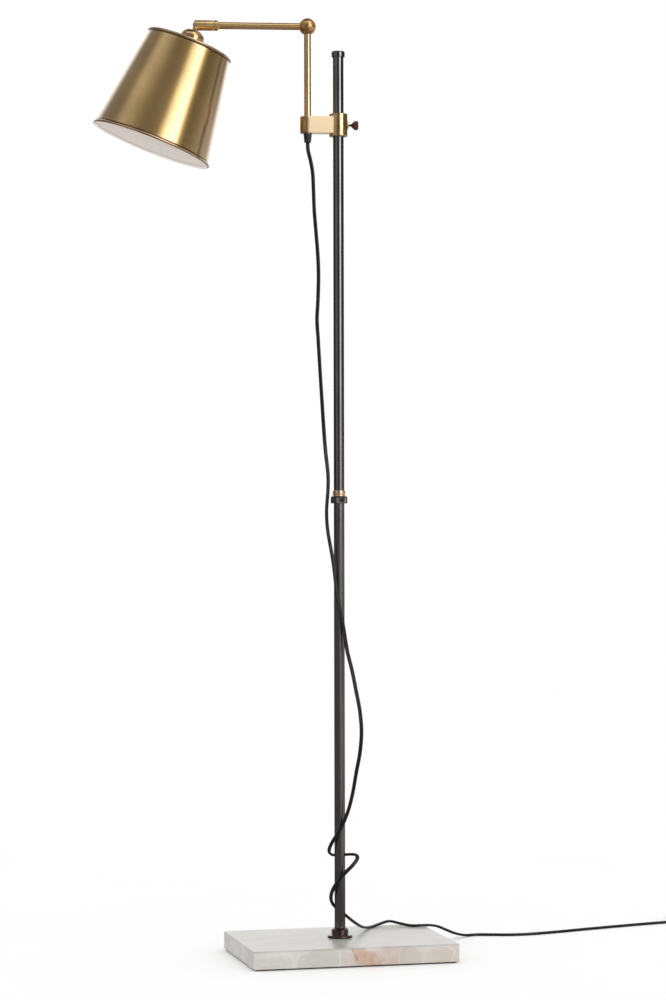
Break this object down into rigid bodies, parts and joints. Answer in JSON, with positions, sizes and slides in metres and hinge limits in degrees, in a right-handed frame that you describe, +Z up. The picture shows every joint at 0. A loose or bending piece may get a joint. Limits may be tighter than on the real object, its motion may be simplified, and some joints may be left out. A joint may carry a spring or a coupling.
{
  "type": "adjustable arm floor lamp",
  "caption": "Floor lamp with a stone slab foot, a slim round post, a sliding clamp, a swivelling elbow arm and a tilting conical metal shade.",
  "frame": {"origin": "centre of the underside of the felt under the slab, on the post's axis, at floor level", "axes": "+Z up along the post; X along the slab's long edges, with the arm reaching out towards -X; +Y towards the slab's back"},
  "size_m": [1.1797, 0.4691, 1.5845],
  "materials": {
    "felt": "felt",
    "stone": "polished",
    "dark_bronze": "satin dark bronze",
    "foot_bronze": "satin reddish bronze",
    "black_metal": "satin black",
    "copper_bronze": "brushed dark copper",
    "antique_brass": "brushed antique brass",
    "steel": "zinc plated",
    "bush_brass": "plain",
    "nylon": "natural",
    "black_plastic": "glossy",
    "phenolic": "dark brown moulded",
    "nickel": "nickel plated",
    "cord_pvc": "soft flat flex",
    "tie_black": "tie wrap",
    "plug_brass": "plain blades"
  },
  "bodies": {
    "stand": {"felt_pad": "felt", "stone_base": "stone", "base_flange": "foot_bronze", "base_stud": "steel", "base_washer": "steel", "base_nut": "steel", "base_insert": "steel", "lower_post": "dark_bronze", "lower_insert": "steel", "joint_collar": "black_metal", "joint_ring": "antique_brass", "joint_stud": "steel", "upper_insert": "steel", "upper_post": "dark_bronze", "top_cap": "black_metal", "cord": "cord_pvc", "cord_coil": "cord_pvc", "cord_tail": "cord_pvc", "coil_tie": "tie_black", "plug_body": "black_plastic", "plug_blades": "plug_brass"},
    "carriage": {"post_liner": "nylon"},
    "clamp": {"clamp_bracket": "antique_brass", "screw_boss": "antique_brass", "swivel_bushes": "bush_brass", "wave_washer": "steel"},
    "pad": {"pressure_pad": "nylon"},
    "screw": {"thumb_screw": "steel", "thumb_knob": "copper_bronze"},
    "arm": {"arm_riser": "antique_brass", "riser_collar": "bush_brass", "strain_relief": "black_plastic", "ball_elbow": "antique_brass", "arm_tube": "antique_brass", "arm_lead": "cord_pvc", "swivel_collar": "antique_brass", "swivel_nipple": "steel", "swivel_nut": "steel"},
    "head": {"swivel_sleeve": "antique_brass", "tilt_pin": "steel"},
    "shade": {"knuckle": "nickel", "socket_cup": "antique_brass", "cup_nut": "steel", "lamp_nipple": "steel", "shade_shell": "antique_brass", "shade_nut": "steel", "socket_cap": "bush_brass", "socket_body": "phenolic", "screw_shell": "nickel", "center_contact": "bush_brass", "socket_lead": "cord_pvc"},
    "switch": {"switch_key": "bush_brass"}
  },
  "joints": [
    {"name": "clamp_height", "type": "slide", "parent": "stand", "child": "carriage", "axis": [0, 0, 1], "range_m": [-0.59, 0.09], "deforming": ["cord"]},
    {"name": "clamp_swing", "type": "hinge", "parent": "carriage", "child": "clamp", "pos_m": [0, 0, 1.404], "axis": [0, 0, 1], "range_deg": [-170, 170]},
    {"name": "pad_travel", "type": "slide", "parent": "clamp", "child": "pad", "axis": [0.989, -0.1478, 0], "range_m": [0, 0.0014]},
    {"name": "screw_turn", "type": "hinge", "parent": "pad", "child": "screw", "pos_m": [0, 0, 1.404], "axis": [0.989, -0.1478, 0], "range_deg": [0, 720]},
    {"name": "arm_swivel", "type": "hinge", "parent": "clamp", "child": "arm", "pos_m": [-0.05143, 0.00769, 1.404], "axis": [0, 0, 1], "range_deg": [-160, 160]},
    {"name": "head_roll", "type": "hinge", "parent": "arm", "child": "head", "pos_m": [-0.21956, 0.03281, 1.57], "axis": [-0.989, 0.1478, 0], "range_deg": [-120, 120]},
    {"name": "head_tilt", "type": "hinge", "parent": "head", "child": "shade", "pos_m": [-0.23539, 0.03518, 1.57], "axis": [0.1478, 0.989, 0], "range_deg": [-21, 65]},
    {"name": "switch_turn", "type": "hinge", "parent": "shade", "child": "switch", "pos_m": [-0.26052, 0.01871, 1.5122], "axis": [-0.1478, -0.989, 0], "continuous": true}
  ],
  "couplings": [
    {"joint": "screw_turn", "follows": "pad_travel", "rad_per_m": 8975.9}
  ]
}
